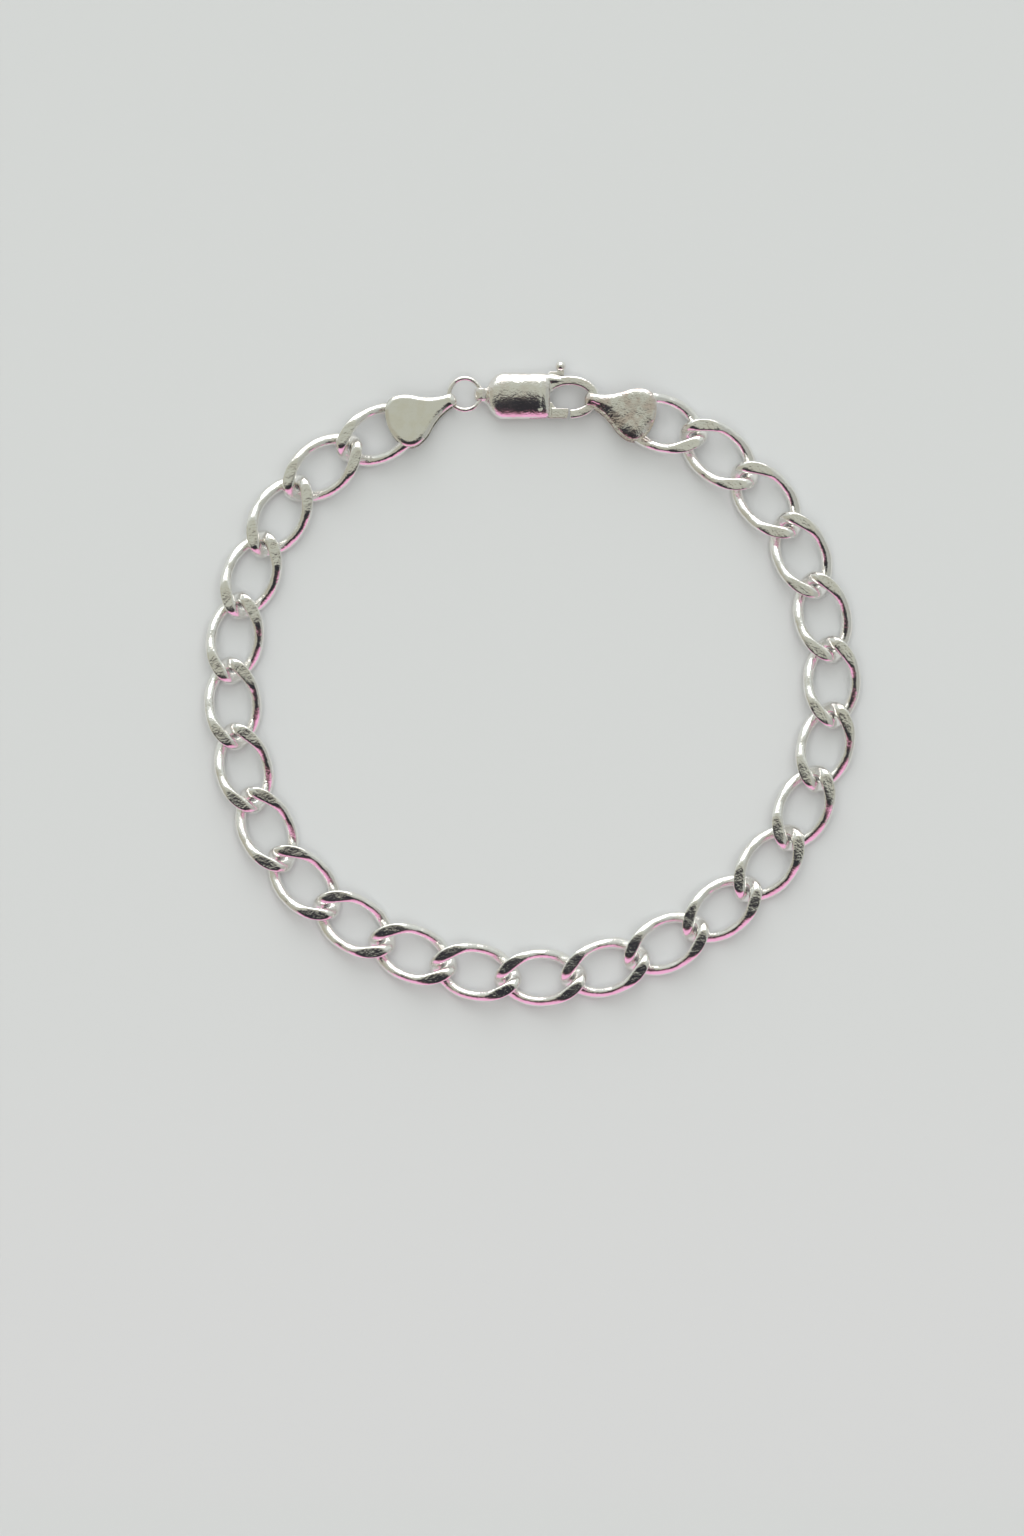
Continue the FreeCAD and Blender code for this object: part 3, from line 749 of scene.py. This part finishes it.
def makeSheet(name, rows):
    points, tones = [], []
    for depth, height, half, shift, tone, share in rows:
        for k in range(sheetSteps):
            place = 2 * k / (sheetSteps - 1) - 1
            points.append(Vector((shift + half * place, depth, height)) * mm)
            tones.append((*tone, share * eased(1 - abs(place), 0, 2 * sheetEdge)))
    faces = [(start, start + 1, start + sheetSteps + 1, start + sheetSteps)
             for i in range(len(rows) - 1) for start in range(i * sheetSteps, (i + 1) * sheetSteps - 1)]
    mesh = bpy.data.meshes.new(name)
    mesh.from_pydata(points, [], faces)
    layer = mesh.attributes.new("tone", "FLOAT_COLOR", "POINT")
    for spot, tone in zip(layer.data, tones):
        spot.color = tone

    made = bpy.data.materials.new(name)
    made.use_nodes = True
    nodes, links = made.node_tree.nodes, made.node_tree.links
    nodes.clear()
    tone = nodes.new("ShaderNodeAttribute")
    tone.attribute_name = "tone"
    clear = nodes.new("ShaderNodeBsdfTransparent")
    glow = nodes.new("ShaderNodeEmission")
    links.new(tone.outputs["Color"], glow.inputs["Color"])
    mix = nodes.new("ShaderNodeMixShader")
    links.new(tone.outputs["Alpha"], mix.inputs["Fac"])
    links.new(clear.outputs[0], mix.inputs[1])
    links.new(glow.outputs[0], mix.inputs[2])
    links.new(mix.outputs[0], nodes.new("ShaderNodeOutputMaterial").inputs["Surface"])
    mesh.materials.append(made)

    hung = bpy.data.objects.new(name, mesh)
    hung.visible_camera = hung.visible_diffuse = hung.visible_shadow = False
    bpy.context.scene.collection.objects.link(hung)


def makeFill():
    data = bpy.data.lights.new("overheadFill", "AREA")
    data.shape = "DISK"
    data.size = room["fillSize"]
    data.energy = room["fillPower"]
    data.color = room["fillTone"]
    light = bpy.data.objects.new("overheadFill", data)
    light.location = (0, 0, room["fillHeight"])
    light.visible_glossy = False
    bpy.context.scene.collection.objects.link(light)


def makeSurroundings():
    world = bpy.data.worlds.new("studioRoom")
    world.use_nodes = True
    bpy.context.scene.world = world
    tree = world.node_tree
    direction = tree.nodes.new("ShaderNodeSeparateXYZ")
    tree.links.new(tree.nodes.new("ShaderNodeTexCoord").outputs["Generated"], direction.inputs["Vector"])
    x, y, z = (direction.outputs[axis] for axis in "XYZ")

    def calc(operation, *values):
        made = tree.nodes.new("ShaderNodeMath")
        made.operation = operation
        for socket, value in zip(made.inputs, values):
            if isinstance(value, bpy.types.NodeSocket):
                tree.links.new(value, socket)
            else:
                socket.default_value = value
        return made.outputs[0]

    colour = mixTones(tree, softStep(tree, x, room["wallBlend"]), room["leftWall"], room["rightWall"])
    colour = mixTones(tree, softStep(tree, y, room["backBlend"]), colour, room["backWall"])
    colour = mixTones(tree, softStep(tree, z, room["ceilingBlend"]), colour, room["ceiling"])
    aside = calc("ABSOLUTE", calc("ADD", x, room["windowShift"]))
    window = calc("MULTIPLY", softStep(tree, y, room["windowBlend"]), softStep(tree, aside, room["windowSides"]))
    colour = mixTones(tree, window, colour, room["window"])
    cameraRay = tree.nodes.new("ShaderNodeLightPath").outputs["Is Camera Ray"]
    tree.links.new(mixTones(tree, cameraRay, colour, room["seen"]), tree.nodes["Background"].inputs["Color"])


def makeCamera():
    data = bpy.data.cameras.new("camera")
    data.sensor_width = studio["sensor"]
    data.lens = studio["sensor"] * (studio["cameraHeight"] - studio["pictureLevel"]) / studio["pictureHeight"]
    camera = bpy.data.objects.new("camera", data)
    camera.location = (*studio["lookAt"], studio["cameraHeight"])
    bpy.context.scene.collection.objects.link(camera)
    bpy.context.scene.camera = camera


makeFloor()
makeSurroundings()
for sheetName, sheetRows in sheets.items():
    makeSheet(sheetName, sheetRows)
makeFill()
makeCamera()
bpy.context.scene.view_settings.view_transform = "Standard"
print("studio made")

bpy.context.view_layer.update()
